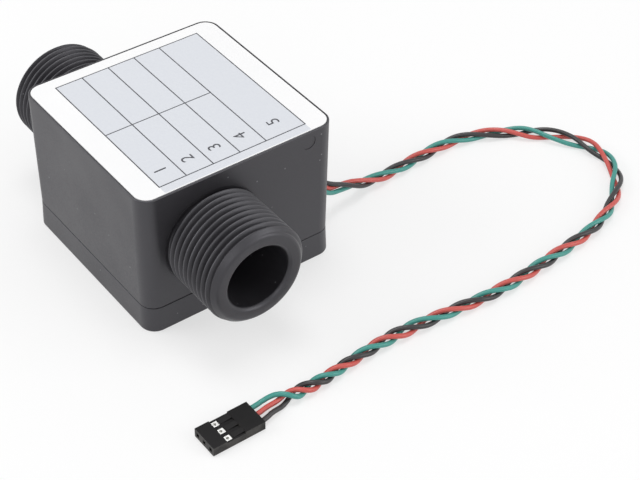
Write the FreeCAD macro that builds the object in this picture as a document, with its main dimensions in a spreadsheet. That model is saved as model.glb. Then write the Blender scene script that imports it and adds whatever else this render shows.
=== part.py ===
import FreeCAD, Part
import Sketcher
import math
import os

# Electromagnetic flow meter. X runs along the pipe, Z is up, and the origin lies under the middle of the
# case, on the surface that it stands on. Lengths are in millimetres and angles in degrees.
SIZES = {
    # Moulded case: upper housing and bottom cover, both a little narrower at the seam between them
    "case_length": 54.0,
    "case_width": 54.4,
    "case_height": 40.5,
    "cover_height": 7.25,
    "housing_draft": 0.4,
    "cover_draft": 1.8,
    "corner_radius": 4.0,
    "rim_radius": 0.3,
    "seam_radius": 0.1,
    "foot_radius": 0.4,
    "case_wall": 2.5,
    "roof_thickness": 2.2,
    "floor_thickness": 2.5,
    "lip_height": 1.2,
    "lip_length": 18.0,
    "lip_thickness": 1.2,
    "lip_clearance": 0.2,
    # Shallow round mark of the mould, high on the front face
    "mould_mark_y": 19.2,
    "mould_mark_drop": 2.85,
    "mould_mark_diameter": 4.0,
    "mould_mark_depth": 0.12,
    # Cover gasket and screws
    "gasket_thickness": 0.2,
    "gasket_inset": 0.9,
    "gasket_pad_diameter": 7.0,
    "screw_inset": 5.0,
    "screw_core": 2.4,
    "screw_length": 9.4,
    "screw_point_length": 1.2,
    "screw_point_diameter": 0.8,
    "screw_head_diameter": 5.2,
    "screw_head_height": 1.8,
    "screw_head_bevel": 0.6,
    "screw_pilot": 2.5,
    "screw_pilot_depth": 4.9,
    "screw_passage": 3.2,
    "screw_recess_diameter": 5.8,
    "screw_recess_depth": 2.6,
    "screw_post_diameter": 8.2,
    "screw_boss_diameter": 6.0,
    "screw_boss_height": 5.4,
    "screw_drive_length": 3.4,
    "screw_drive_width": 0.8,
    "screw_drive_depth": 0.9,
    # Label in its recess in the roof
    "label_rim": 0.4,
    "label_recess": 0.25,
    "label_thickness": 0.2,
    "label_gap": 0.22,
    # Flow tube, threaded G 3/4 at both ends, and what seals and holds it in the end walls
    "pipe_y": -8.2,
    "pipe_z": 22.7,
    "pipe_length": 91.6,
    "bore_diameter": 16.8,
    "bore_chamfer": 0.9,
    "thread_diameter": 26.441,
    "thread_chamfer": 1.7,
    "neck_relief": 0.22,
    "neck_width": 0.7,
    "neck_recess": 0.6,
    "tube_clearance": 0.15,
    "collar_wall": 1.4,
    "collar_depth": 3.0,
    "seal_groove_depth": 1.5,
    "seal_groove_width": 2.4,
    "seal_play": 0.05,
    "clip_thickness": 1.0,
    "clip_play": 0.05,
    "clip_groove_depth": 1.3,
    "clip_reach": 1.0,
    "clip_mouth": 19.0,
    "clip_land": 1.5,
    "tube_diameter": 20.8,
    # Electrodes above and below the bore, at right angles to the magnetic field
    "electrode_boss_diameter": 9.0,
    "electrode_boss_height": 11.8,
    "electrode_recess": 0.1,
    "electrode_head_diameter": 4.0,
    "electrode_head_thickness": 1.0,
    "electrode_shank": 2.4,
    "electrode_play": 0.1,
    "electrode_seal_section": 0.8,
    "electrode_end": 0.6,
    "tag_thickness": 0.4,
    "tag_width": 4.6,
    "tag_length": 7.0,
    "tag_corner": 2.0,
    "nut_across_flats": 5.0,
    "nut_height": 1.6,
    "nut_play": 0.05,
    "tag_wire_diameter": 0.9,
    "tag_wire_gap": 0.02,
    "tag_wire_joint": 2.0,
    "tag_wire_end": 4.0,
    "tag_wire_x": 12.6,
    # Magnet circuit: two pole shoes on the sides of the tube, a yoke under it and one coil
    "pole_gap": 0.1,
    "pole_thickness": 1.8,
    "pole_length": 17.0,
    "pole_angle": 80.0,
    "pole_seat": 13.0,
    "pole_seat_diameter": 8.0,
    "yoke_width": 16.0,
    "yoke_thickness": 2.0,
    "yoke_bend": 1.5,
    "yoke_level": 4.6,
    "yoke_near_height": 6.0,
    "yoke_far_height": 8.0,
    "core_diameter": 7.2,
    "core_length": 6.8,
    "core_screw_diameter": 2.6,
    "core_screw_depth": 5.0,
    "core_screw_head_diameter": 5.4,
    "core_screw_head_height": 1.7,
    "core_screw_drive": 2.0,
    "core_screw_drive_depth": 0.9,
    "core_screw_play": 0.1,
    "coil_play": 0.1,
    "coil_flange_diameter": 18.4,
    "coil_flange_thickness": 0.8,
    "coil_hub_wall": 0.9,
    "coil_fill": 0.4,
    "winding_play": 0.05,
    "coil_pin_diameter": 0.8,
    "coil_pin_x": 8.75,
    "coil_pin_end": 0.8,
    "coil_pin_play": 0.1,
    # Circuit board, upright between guide ribs on the end walls
    "board_setback": 7.8,
    "board_thickness": 1.6,
    "board_play": 0.2,
    "board_foot": 8.4,
    "guide_thickness": 1.2,
    "guide_depth": 2.0,
    "guide_foot": 10.0,
    "board_stop_x": 6.0,
    "board_stop_length": 4.0,
    "board_stop_thickness": 3.0,
    "processor_side": 7.0,
    "processor_height": 1.4,
    "processor_x": -16.2,
    "processor_z": 26.2,
    "amplifier_length": 5.0,
    "amplifier_width": 4.0,
    "amplifier_height": 1.5,
    "amplifier_z": 28.3,
    "transistor_length": 6.5,
    "transistor_width": 3.5,
    "transistor_height": 1.7,
    "transistor_z": 16.4,
    "chip_foot": 1.0,
    "chip_foot_width": 0.4,
    "chip_foot_thickness": 0.3,
    "chip_bevel": 0.2,
    "capacitor_diameter": 5.0,
    "capacitor_length": 9.0,
    "capacitor_groove": 0.4,
    "capacitor_groove_place": 1.6,
    "capacitor_x": -13.5,
    "capacitor_z": 14.0,
    "resistor_length": 2.0,
    "resistor_width": 1.25,
    "resistor_height": 0.55,
    "resistor_spacing": 3.0,
    "resistor_drop": 4.0,
    # Lead: header on the board, grommet in the wall, three wires and their plug
    "lead_x": 15.0,
    "lead_z": 11.5,
    "header_length": 7.2,
    "header_width": 4.6,
    "header_height": 5.5,
    "header_bevel": 0.2,
    "grommet_flange_diameter": 6.4,
    "grommet_flange_thickness": 1.0,
    "grommet_neck_diameter": 5.0,
    "grommet_inner_thickness": 0.6,
    "grommet_rounding": 0.5,
    "grommet_play": 0.05,
    "wire_diameter": 1.25,
    "wire_spacing": 1.36,
    "wire_play": 0.04,
    "plug_x": 63.46,
    "plug_rear": -22.0,
    "plug_length": 14.0,
    "plug_width": 7.62,
    "plug_height": 2.54,
    "plug_pitch": 2.54,
    "plug_edge": 0.15,
    "plug_cavity": 1.7,
    "plug_socket": 1.0,
    "plug_nose": 1.2,
    "plug_band_start": 3.7,
    "plug_band_length": 5.0,
    "plug_band_depth": 0.3,
    "plug_window": 1.7,
    "contact_width": 1.5,
    "contact_height": 1.5,
    "contact_length": 7.4,
    "contact_hole": 0.8,
    "contact_hole_depth": 3.7,
    "contact_dimple_depth": 0.4,
    "contact_play": 0.1,
    "crimp_length": 2.4,
    "crimp_diameter": 1.4,
}

# Middle of the flat ribbon of three wires, from the header inside the case to the contacts in the plug
LEAD_ROUTE = [
    (15.0, 24.0, 11.5),
    (15.0, 32.0, 11.5),
    (14.3, 37.6, 5.7),
    (12.9, 45.5, 2.3),
    (11.8, 55.5, 0.65),
    (11.0, 68.0, 0.65),
    (12.3, 82.0, 0.65),
    (18.6, 97.0, 0.65),
    (30.2, 108.6, 0.65),
    (43.4, 110.3, 0.65),
    (54.0, 101.6, 0.65),
    (60.0, 88.0, 0.65),
    (62.4, 71.0, 0.65),
    (65.4, 50.0, 0.65),
    (64.0, 35.0, 0.65),
    (61.5, 20.0, 0.65),
    (61.8, 7.0, 0.65),
    (63.2, -5.0, 0.65),
    (63.5, -12.5, 1.0),
    (63.46, -18.0, 1.27),
    (63.46, -24.8, 1.27),
]
# Offsets of the two electrode wires from a straight line between tag and board, at evenly spaced points
UPPER_WIRE_SWAY = [(1.2, 0.0, 0.6), (-0.7, 0.0, 0.4)]
LOWER_WIRE_SWAY = [(4.4, -3.0, -0.6), (3.6, -2.0, -1.0)]
# Rows of the lead's wires, counted sideways from the middle of the ribbon
LEAD_WIRES = {"green_wire": 1, "red_wire": 0, "black_wire": -1}
RESISTOR_COUNT = 6
# Share of the shorter run that an arc of a wire takes up
ARC_SHARE = 0.45
# Lengths below this count as nothing when edges are picked
NEAR = 1e-4

# Places that several pieces share, as formulas
INSIDE_X = "(size.case_length / 2 - size.case_wall)"
INSIDE_Y = "(size.case_width / 2 - size.case_wall)"
SEAM = "(size.cover_height + size.gasket_thickness)"
ROOF = "(size.case_height - size.roof_thickness)"
SCREW_X = "(size.case_length / 2 - size.screw_inset)"
SCREW_Y = "(size.case_width / 2 - size.screw_inset)"
THREAD_RADIUS = "(size.thread_diameter / 2)"
HOLE_RADIUS = "(size.thread_diameter / 2 + size.tube_clearance)"
COLLAR_X = "(size.case_length / 2 - size.case_wall - size.collar_depth)"
SEAL_X = "(size.case_length / 2 - (size.case_wall + size.collar_depth + size.neck_recess) / 2)"
SEAL_ROOT = "(size.thread_diameter / 2 - size.seal_groove_depth)"
CLIP_ROOT = "(size.thread_diameter / 2 - size.clip_groove_depth)"
ELECTRODE_FACE = "(size.bore_diameter / 2 + size.electrode_recess)"
ELECTRODE_SEAT = "(size.bore_diameter / 2 + size.electrode_recess + size.electrode_head_thickness)"
TAG_WIRE_OFF = "(size.tag_wire_diameter / 2 + size.tag_wire_gap)"
TAG_SEAT = "size.electrode_boss_height"
NUT_SEAT = "(size.electrode_boss_height + size.tag_thickness)"
COIL_Y = "(size.pipe_y + size.pole_seat)"
YOKE_Y = "(size.pipe_y + size.pole_seat + size.core_length)"
BOARD_BACK = "(size.case_width / 2 - size.case_wall - size.board_setback)"
BOARD_FACE = "(size.case_width / 2 - size.case_wall - size.board_setback + size.board_thickness)"
BOARD_TOP = "(size.case_height - size.roof_thickness - size.board_play)"
LEAD_WALL = "(size.case_width / 2 - (size.case_height - size.lead_z) * tan(size.housing_draft))"
PLUG_FRONT = "(size.plug_rear - size.plug_length)"
PLUG_MIDDLE = "(size.plug_height / 2)"
CONTACT_FRONT = "(size.plug_rear - size.plug_length + size.plug_nose)"
CRIMP_Y = "(size.plug_rear - size.plug_length + size.plug_nose + size.contact_length)"

document = FreeCAD.newDocument("flow_meter")
sheet = document.addObject("Spreadsheet::Sheet", "size")
for row, (size_name, size_value) in enumerate(SIZES.items(), 1):
    sheet.set(f"A{row}", size_name)
    sheet.set(f"B{row}", str(size_value))
    sheet.setAlias(f"B{row}", size_name)
document.recompute()


def amount(formula):
    """Present value of a formula."""
    return float(sheet.evalExpression(formula))


def new_body(label):
    """Empty body whose label names its node."""
    body = document.addObject("PartDesign::Body", label)
    body.Label = label
    return body


def origin_plane(body, role):
    """One of a body's own three planes."""
    return next(item for item in body.Origin.OriginFeatures if item.Role == role)


def sketch_on(body, role, across="0", up="0", off="0"):
    """Sketch on a plane of the body, with its origin moved by formulas along the plane and off it."""
    sketch = body.newObject("Sketcher::SketchObject", "sketch")
    sketch.AttachmentSupport = [(origin_plane(body, role), "")]
    sketch.MapMode = "FlatFace"
    for axis, formula in (("x", across), ("y", up), ("z", off)):
        sketch.setExpression(f"AttachmentOffset.Base.{axis}", formula)
    return sketch


def bind(sketch, formula, kind, *places):
    """Dimension of a sketch that follows a formula."""
    index = sketch.addConstraint(Sketcher.Constraint(kind, *places, amount(formula)))
    sketch.setExpression(f"Constraints[{index}]", formula)


def pin_down(sketch, edge, spot, across, up):
    """Holds a point of an edge at two formulas from the sketch's origin."""
    bind(sketch, across, "DistanceX", -1, 1, edge, spot)
    bind(sketch, up, "DistanceY", -1, 1, edge, spot)


def outline(sketch, points):
    """Closed outline of straight edges through points given as pairs of formulas."""
    first = sketch.GeometryCount
    corners = [FreeCAD.Vector(amount(across), amount(up), 0) for across, up in points]
    count = len(points)
    for place, corner in enumerate(corners):
        sketch.addGeometry(Part.LineSegment(corner, corners[(place + 1) % count]), False)
    for place in range(count):
        following = first + (place + 1) % count
        sketch.addConstraint(Sketcher.Constraint("Coincident", first + place, 2, following, 1))
    for place, (across, up) in enumerate(points):
        pin_down(sketch, first + place, 1, across, up)


def rectangle(sketch, left, low, right, high):
    """Rectangle between two opposite corners."""
    outline(sketch, [(left, low), (right, low), (right, high), (left, high)])


def middle_rectangle(sketch, half_across, half_up):
    """Rectangle about the sketch's origin."""
    rectangle(sketch, f"-({half_across})", f"-({half_up})", half_across, half_up)


def round_rectangle(sketch, half_across, half_up, radius):
    """Rectangle about the sketch's origin with round corners."""
    bend = amount(radius)
    first = sketch.GeometryCount
    signs = [("-", "-"), ("", "-"), ("", ""), ("-", "")]
    centres = [(f"{h}(({half_across}) - ({radius}))", f"{v}(({half_up}) - ({radius}))") for h, v in signs]
    ends = []
    for place, (h, v) in enumerate(signs):
        on_side = (f"{h}({half_across})", centres[place][1])
        on_end = (centres[place][0], f"{v}({half_up})")
        arriving, leaving = (on_side, on_end) if place % 2 == 0 else (on_end, on_side)
        ends.append((arriving, leaving))
        middle = FreeCAD.Vector(amount(centres[place][0]), amount(centres[place][1]), 0)
        round_edge = Part.Circle(middle, FreeCAD.Vector(0, 0, 1), bend)
        begin = math.pi * (1 + place / 2)
        sketch.addGeometry(Part.ArcOfCircle(round_edge, begin, begin + math.pi / 2), False)
    for place in range(4):
        start = ends[place][1]
        stop = ends[(place + 1) % 4][0]
        corner = [FreeCAD.Vector(amount(across), amount(up), 0) for across, up in (start, stop)]
        line = sketch.addGeometry(Part.LineSegment(*corner), False)
        pin_down(sketch, line, 1, *start)
        pin_down(sketch, line, 2, *stop)
        sketch.addConstraint(Sketcher.Constraint("Coincident", first + place, 2, line, 1))
        sketch.addConstraint(Sketcher.Constraint("Coincident", first + (place + 1) % 4, 1, line, 2))
    for place in range(4):
        bind(sketch, radius, "Radius", first + place)


def circle(sketch, radius, across="0", up="0"):
    """Circle about a point of the sketch."""
    centre = FreeCAD.Vector(amount(across), amount(up), 0)
    edge = sketch.addGeometry(Part.Circle(centre, FreeCAD.Vector(0, 0, 1), amount(radius)), False)
    pin_down(sketch, edge, 3, across, up)
    bind(sketch, radius, "Radius", edge)


def corner_circles(sketch, radius):
    """Four circles at the cover screws."""
    for along in ("", "-"):
        for aside in ("", "-"):
            circle(sketch, radius, f"{along}{SCREW_X}", f"{aside}{SCREW_Y}")


def extrude(body, kind, sketch, length, backwards=False, both_ways=False, taper=None):
    """Pad or pocket of a sketch."""
    feature = body.newObject(f"PartDesign::{kind}", kind.lower())
    feature.Profile = sketch
    feature.Reversed = backwards
    feature.setExpression("Length", length)
    if both_ways:
        feature.SideType = "Symmetric"
    if taper:
        feature.setExpression("TaperAngle", taper)
    document.recompute()
    return feature


def pad(body, sketch, length, **options):
    """Adds a sketch's area, carried along its normal."""
    return extrude(body, "Pad", sketch, length, **options)


def pocket(body, sketch, length, **options):
    """Cuts a sketch's area, carried against its normal, and makes sure that something was cut."""
    before = body.Shape.Volume
    feature = extrude(body, "Pocket", sketch, length, **options)
    if body.Shape.Volume > before - NEAR:
        raise RuntimeError(f"a pocket of {body.Label} cuts nothing")
    return feature


def turn(body, sketch, axis, angle="360"):
    """Turns a sketch about one of its own axes, evenly to both sides."""
    feature = body.newObject("PartDesign::Revolution", "revolution")
    feature.Profile = sketch
    feature.ReferenceAxis = (sketch, [axis])
    feature.Midplane = True
    feature.setExpression("Angle", angle)
    document.recompute()
    return feature


def mirror_body(body, role):
    """Repeats the whole body on the other side of one of its planes."""
    feature = body.newObject("PartDesign::Mirrored", "mirrored")
    feature.TransformMode = "Whole shape"
    feature.MirrorPlane = (origin_plane(body, role), [""])
    body.Tip = feature
    document.recompute()
    return feature


def dress(body, kind, prop, size, wanted):
    """Fillet or chamfer on the edges that a test picks."""
    base = body.Tip
    names = [f"Edge{number}" for number, edge in enumerate(base.Shape.Edges, 1) if wanted(edge)]
    feature = body.newObject(f"PartDesign::{kind}", kind.lower())
    feature.Base = (base, names)
    feature.setExpression(prop, size)
    document.recompute()
    return feature


def fillet(body, radius, wanted):
    """Rounds the edges that a test picks."""
    return dress(body, "Fillet", "Radius", radius, wanted)


def chamfer(body, size, wanted):
    """Bevels the edges that a test picks."""
    return dress(body, "Chamfer", "Size", size, wanted)


def upright(edge):
    """Tells an edge that stands up, or leans by no more than a draft."""
    box = edge.BoundBox
    return box.ZLength > 2 * (box.XLength + box.YLength)


def runs_along(axis):
    """Test for the edges that run along one axis."""

    def wanted(edge):
        box = edge.BoundBox
        lengths = {"X": box.XLength, "Y": box.YLength, "Z": box.ZLength}
        return lengths.pop(axis) > NEAR and max(lengths.values()) < NEAR

    return wanted


def at_level(formula):
    """Test for the edges that lie level at a height."""
    height = amount(formula)
    return lambda edge: abs(edge.BoundBox.ZMin - height) < NEAR and edge.BoundBox.ZLength < NEAR


def at_depth(formula):
    """Test for the edges in a plane across the Y axis."""
    depth = amount(formula)
    return lambda edge: abs(edge.BoundBox.YMin - depth) < NEAR and edge.BoundBox.YLength < NEAR


def on_axis(primitive, x, y, z, turned=None):
    """Places a primitive by formulas, with its own axis turned from Z to another axis."""
    if turned:
        primitive.Placement.Rotation = FreeCAD.Rotation(FreeCAD.Vector(0, 0, 1), turned)
    for axis, formula in (("x", x), ("y", y), ("z", z)):
        primitive.setExpression(f"Placement.Base.{axis}", formula)
    return primitive


def primitive_of(kind, **formulas):
    """Solid primitive whose sizes follow formulas."""
    item = document.addObject(f"Part::{kind}", kind.lower())
    for prop, formula in formulas.items():
        item.setExpression(prop, formula)
    return item


def cut_from(base, tool, label="cut"):
    """One solid less another."""
    item = document.addObject("Part::Cut", label)
    item.Base = base
    item.Tool = tool
    item.Label = label
    return item


def group(label, members):
    """Like pieces that share a node as separate solids."""
    item = document.addObject("Part::Compound", label)
    item.Links = members
    item.Label = label
    return item


def upper_housing():
    """Four walls and the roof, with collars for the tube, screw bosses and guides for the board."""
    body = new_body("upper_housing")
    shell = sketch_on(body, "XY_Plane", off="size.case_height")
    middle_rectangle(shell, "size.case_length / 2", "size.case_width / 2")
    height = f"size.case_height - {SEAM}"
    pad(body, shell, height, backwards=True, taper="-size.housing_draft")
    fillet(body, "size.corner_radius", upright)
    fillet(body, "size.rim_radius", at_level("size.case_height"))
    fillet(body, "size.seam_radius", at_level(SEAM))

    cavity = sketch_on(body, "XY_Plane", off=SEAM)
    round_rectangle(cavity, INSIDE_X, INSIDE_Y, "size.corner_radius - size.case_wall")
    pocket(body, cavity, f"{ROOF} - {SEAM}", backwards=True)

    bosses = sketch_on(body, "XY_Plane", off=SEAM)
    corner_circles(bosses, "size.screw_boss_diameter / 2")
    pad(body, bosses, "size.screw_boss_height")

    guides = sketch_on(body, "XY_Plane", off="size.guide_foot")
    for side in ("", "-"):
        for near, far in (
            (f"{BOARD_BACK} - size.board_play - size.guide_thickness", f"{BOARD_BACK} - size.board_play"),
            (f"{BOARD_FACE} + size.board_play", f"{BOARD_FACE} + size.board_play + size.guide_thickness"),
        ):
            wall_side = f"{side}({INSIDE_X} + size.case_wall / 2)"
            rectangle(guides, f"{side}({INSIDE_X} - size.guide_depth)", near, wall_side, far)
    pad(body, guides, f"{ROOF} + size.roof_thickness / 2 - size.guide_foot")

    for side, turned_over in (("", True), ("-", False)):
        collar = sketch_on(body, "YZ_Plane", "size.pipe_y", "size.pipe_z", f"{side}{INSIDE_X}")
        circle(collar, f"{HOLE_RADIUS} + size.collar_wall")
        pad(body, collar, "size.collar_depth", backwards=turned_over)
    passage = sketch_on(body, "YZ_Plane", "size.pipe_y", "size.pipe_z")
    circle(passage, HOLE_RADIUS)
    pocket(body, passage, "size.case_length", both_ways=True)

    pilots = sketch_on(body, "XY_Plane", off=SEAM)
    corner_circles(pilots, "size.screw_pilot / 2")
    pocket(body, pilots, "size.screw_pilot_depth", backwards=True)

    lead_hole = sketch_on(body, "XZ_Plane", "size.lead_x", "size.lead_z", "-size.case_width / 2")
    circle(lead_hole, "size.grommet_neck_diameter / 2 + size.grommet_play")
    pocket(body, lead_hole, "size.case_wall + size.grommet_inner_thickness", backwards=True)

    recess = sketch_on(body, "XY_Plane", off="size.case_height")
    round_rectangle(
        recess,
        "size.case_length / 2 - size.label_rim",
        "size.case_width / 2 - size.label_rim",
        "size.corner_radius - size.label_rim",
    )
    pocket(body, recess, "size.label_recess")

    mark_z = "size.case_height - size.mould_mark_drop"
    mark = sketch_on(body, "YZ_Plane", "size.mould_mark_y", mark_z, "size.case_length / 2")
    circle(mark, "size.mould_mark_diameter / 2")
    lean = "size.mould_mark_drop * tan(size.housing_draft)"
    pocket(body, mark, f"size.mould_mark_depth + {lean}")
    return body


def bottom_cover():
    """Shallow tray with screw posts, lips that centre it in the housing and stops under the board."""
    body = new_body("bottom_cover")
    tray = sketch_on(body, "XY_Plane")
    middle_rectangle(tray, "size.case_length / 2", "size.case_width / 2")
    pad(body, tray, "size.cover_height", taper="-size.cover_draft")
    fillet(body, "size.corner_radius", upright)
    fillet(body, "size.foot_radius", at_level("0"))
    fillet(body, "size.seam_radius", at_level("size.cover_height"))

    cavity = sketch_on(body, "XY_Plane", off="size.cover_height")
    round_rectangle(
        cavity,
        f"{INSIDE_X} - size.lip_clearance",
        f"{INSIDE_Y} - size.lip_clearance",
        "size.corner_radius - size.case_wall",
    )
    pocket(body, cavity, "size.cover_height - size.floor_thickness")

    posts = sketch_on(body, "XY_Plane", off="size.floor_thickness / 2")
    corner_circles(posts, "size.screw_post_diameter / 2")
    pad(body, posts, "size.cover_height - size.floor_thickness / 2")

    lips = sketch_on(body, "XY_Plane", off="size.floor_thickness / 2")
    for side in ("", "-"):
        inner = f"{side}({INSIDE_Y} - size.lip_clearance - size.lip_thickness)"
        outer = f"{side}({INSIDE_Y} - size.lip_clearance)"
        rectangle(lips, "-size.lip_length / 2", inner, "size.lip_length / 2", outer)
    pad(body, lips, "size.cover_height - size.floor_thickness / 2 + size.lip_height")

    stops = sketch_on(body, "XY_Plane", off="size.floor_thickness / 2")
    board_middle = f"{BOARD_BACK} + size.board_thickness / 2"
    for side in ("", "-"):
        rectangle(
            stops,
            f"{side}(size.board_stop_x - size.board_stop_length / 2)",
            f"{board_middle} - size.board_stop_thickness / 2",
            f"{side}(size.board_stop_x + size.board_stop_length / 2)",
            f"{board_middle} + size.board_stop_thickness / 2",
        )
    pad(body, stops, "size.board_foot - size.board_play - size.floor_thickness / 2")

    passages = sketch_on(body, "XY_Plane")
    corner_circles(passages, "size.screw_passage / 2")
    pocket(body, passages, "size.cover_height", backwards=True)
    recesses = sketch_on(body, "XY_Plane")
    corner_circles(recesses, "size.screw_recess_diameter / 2")
    pocket(body, recesses, "size.screw_recess_depth", backwards=True)
    return body


def cover_gasket():
    """Flat rubber frame in the seam, wider round each screw."""
    body = new_body("cover_gasket")
    frame = sketch_on(body, "XY_Plane", off="size.cover_height")
    round_rectangle(
        frame,
        "size.case_length / 2 - size.gasket_inset",
        "size.case_width / 2 - size.gasket_inset",
        "size.corner_radius - size.gasket_inset",
    )
    round_rectangle(frame, INSIDE_X, INSIDE_Y, "size.corner_radius - size.case_wall")
    pad(body, frame, "size.gasket_thickness")
    pads = sketch_on(body, "XY_Plane", off="size.cover_height")
    corner_circles(pads, "size.gasket_pad_diameter / 2")
    pad(body, pads, "size.gasket_thickness")
    holes = sketch_on(body, "XY_Plane", off="size.cover_height")
    corner_circles(holes, "size.screw_passage / 2")
    pocket(body, holes, "size.gasket_thickness", backwards=True)
    return body


def cover_screws():
    """Four pan-head screws, driven up from underneath."""
    body = new_body("cover_screws")
    shank_end = "size.screw_recess_depth + size.screw_length"
    crown = "(size.screw_recess_depth - size.screw_head_height)"
    profile = sketch_on(body, "XZ_Plane", SCREW_X, "0", f"-{SCREW_Y}")
    outline(
        profile,
        [
            ("0", crown),
            ("size.screw_head_diameter / 2 - size.screw_head_bevel", crown),
            ("size.screw_head_diameter / 2", f"{crown} + size.screw_head_bevel"),
            ("size.screw_head_diameter / 2", "size.screw_recess_depth"),
            ("size.screw_core / 2", "size.screw_recess_depth"),
            ("size.screw_core / 2", f"{shank_end} - size.screw_point_length"),
            ("size.screw_point_diameter / 2", shank_end),
            ("0", shank_end),
        ],
    )
    turn(body, profile, "V_Axis")
    half_length = "size.screw_drive_length / 2"
    half_width = "size.screw_drive_width / 2"
    for half_across, half_up in ((half_length, half_width), (half_width, half_length)):
        slot = sketch_on(body, "XY_Plane", SCREW_X, SCREW_Y, crown)
        middle_rectangle(slot, half_across, half_up)
        pocket(body, slot, "size.screw_drive_depth", backwards=True)
    mirror_body(body, "YZ_Plane")
    mirror_body(body, "XZ_Plane")
    return body


def rating_label():
    """Thin label with round corners, set in the recess of the roof."""
    body = new_body("rating_label")
    sheet_shape = sketch_on(body, "XY_Plane", off="size.case_height - size.label_recess")
    edge = "(size.label_rim + size.label_gap)"
    round_rectangle(
        sheet_shape,
        f"size.case_length / 2 - {edge}",
        f"size.case_width / 2 - {edge}",
        f"size.corner_radius - {edge}",
    )
    pad(body, sheet_shape, "size.label_thickness")
    return body


def flow_tube():
    """Straight pipe with a threaded spigot at each end, seal and clip grooves and two electrode bosses."""
    body = new_body("flow_tube")
    end = "(size.pipe_length / 2)"
    neck = "(size.case_length / 2 + size.neck_width)"
    neck_radius = f"({THREAD_RADIUS} - size.neck_relief)"
    seat = "(size.case_length / 2 - size.neck_recess)"
    groove_out = f"({SEAL_X} + size.seal_groove_width / 2)"
    groove_in = f"({SEAL_X} - size.seal_groove_width / 2)"
    clip_in = f"({COLLAR_X} - size.clip_thickness - 2 * size.clip_play)"
    land = f"({clip_in} - size.clip_land)"
    profile = sketch_on(body, "XZ_Plane", "0", "size.pipe_z", "-size.pipe_y")
    outline(
        profile,
        [
            ("0", "0"),
            (end, "0"),
            (end, f"{THREAD_RADIUS} - size.thread_chamfer"),
            (f"{end} - size.thread_chamfer", THREAD_RADIUS),
            (f"{neck} + size.neck_relief", THREAD_RADIUS),
            (neck, neck_radius),
            (seat, neck_radius),
            (f"{seat} - size.neck_relief", THREAD_RADIUS),
            (groove_out, THREAD_RADIUS),
            (groove_out, SEAL_ROOT),
            (groove_in, SEAL_ROOT),
            (groove_in, THREAD_RADIUS),
            (COLLAR_X, THREAD_RADIUS),
            (COLLAR_X, CLIP_ROOT),
            (clip_in, CLIP_ROOT),
            (clip_in, THREAD_RADIUS),
            (land, THREAD_RADIUS),
            (land, "size.tube_diameter / 2"),
            ("0", "size.tube_diameter / 2"),
        ],
    )
    turn(body, profile, "H_Axis")
    mirror_body(body, "YZ_Plane")

    bosses = sketch_on(body, "XY_Plane", "0", "size.pipe_y", "size.pipe_z")
    circle(bosses, "size.electrode_boss_diameter / 2")
    pad(body, bosses, "2 * size.electrode_boss_height", both_ways=True)

    bore = sketch_on(body, "YZ_Plane", "size.pipe_y", "size.pipe_z")
    circle(bore, "size.bore_diameter / 2")
    pocket(body, bore, "size.pipe_length", both_ways=True)
    tube_end = amount(end)
    bore_radius = amount("size.bore_diameter / 2")

    def at_mouth(edge):
        box = edge.BoundBox
        at_end = box.XLength < NEAR and abs(abs(box.XMin) - tube_end) < NEAR
        return at_end and abs(edge.Curve.Radius - bore_radius) < NEAR

    chamfer(body, "size.bore_chamfer", at_mouth)

    shanks = sketch_on(body, "XY_Plane", "0", "size.pipe_y", "size.pipe_z")
    circle(shanks, "size.electrode_shank / 2 + size.electrode_play")
    pocket(body, shanks, "2 * size.electrode_boss_height", both_ways=True)
    heads = sketch_on(body, "XY_Plane", "0", "size.pipe_y", "size.pipe_z")
    circle(heads, "size.electrode_head_diameter / 2 + size.electrode_play")
    pocket(body, heads, f"2 * ({ELECTRODE_SEAT} + size.electrode_seal_section)", both_ways=True)
    return body


def tube_o_rings():
    """Two rubber rings that seal the tube in the collars."""
    rings = []
    for side in ("", "-"):
        ring = primitive_of(
            "Torus",
            Radius1=f"({SEAL_ROOT} + {HOLE_RADIUS}) / 2",
            Radius2=f"({HOLE_RADIUS} - {SEAL_ROOT}) / 2 - size.seal_play",
        )
        rings.append(on_axis(ring, f"{side}{SEAL_X}", "size.pipe_y", "size.pipe_z", FreeCAD.Vector(1, 0, 0)))
    return group("tube_o_rings", rings)


def tube_clips():
    """Two spring-steel clips, pushed up on to the tube behind the collars."""
    body = new_body("tube_clips")
    ring = sketch_on(
        body,
        "YZ_Plane",
        "size.pipe_y",
        "size.pipe_z",
        f"{COLLAR_X} - size.clip_play - size.clip_thickness",
    )
    circle(ring, f"{THREAD_RADIUS} + size.clip_reach")
    circle(ring, f"{CLIP_ROOT} + size.clip_play")
    pad(body, ring, "size.clip_thickness")
    mouth = sketch_on(body, "YZ_Plane", "size.pipe_y", "size.pipe_z", COLLAR_X)
    rectangle(mouth, "-size.clip_mouth / 2", "0", "size.clip_mouth / 2", "size.thread_diameter")
    pocket(body, mouth, "size.clip_thickness + 2 * size.clip_play")
    mirror_body(body, "YZ_Plane")
    return body


def electrode(label, side):
    """Round-headed electrode, its face just clear of the bore, with a threaded shank for the nut."""
    body = new_body(label)
    tip = f"({NUT_SEAT} + size.nut_height + size.electrode_end)"
    profile = sketch_on(body, "XZ_Plane", "0", "size.pipe_z", "-size.pipe_y")
    outline(
        profile,
        [
            ("0", f"{side}{ELECTRODE_FACE}"),
            ("size.electrode_head_diameter / 2", f"{side}{ELECTRODE_FACE}"),
            ("size.electrode_head_diameter / 2", f"{side}{ELECTRODE_SEAT}"),
            ("size.electrode_shank / 2", f"{side}{ELECTRODE_SEAT}"),
            ("size.electrode_shank / 2", f"{side}{tip}"),
            ("0", f"{side}{tip}"),
        ],
    )
    turn(body, profile, "V_Axis")
    return body


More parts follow.
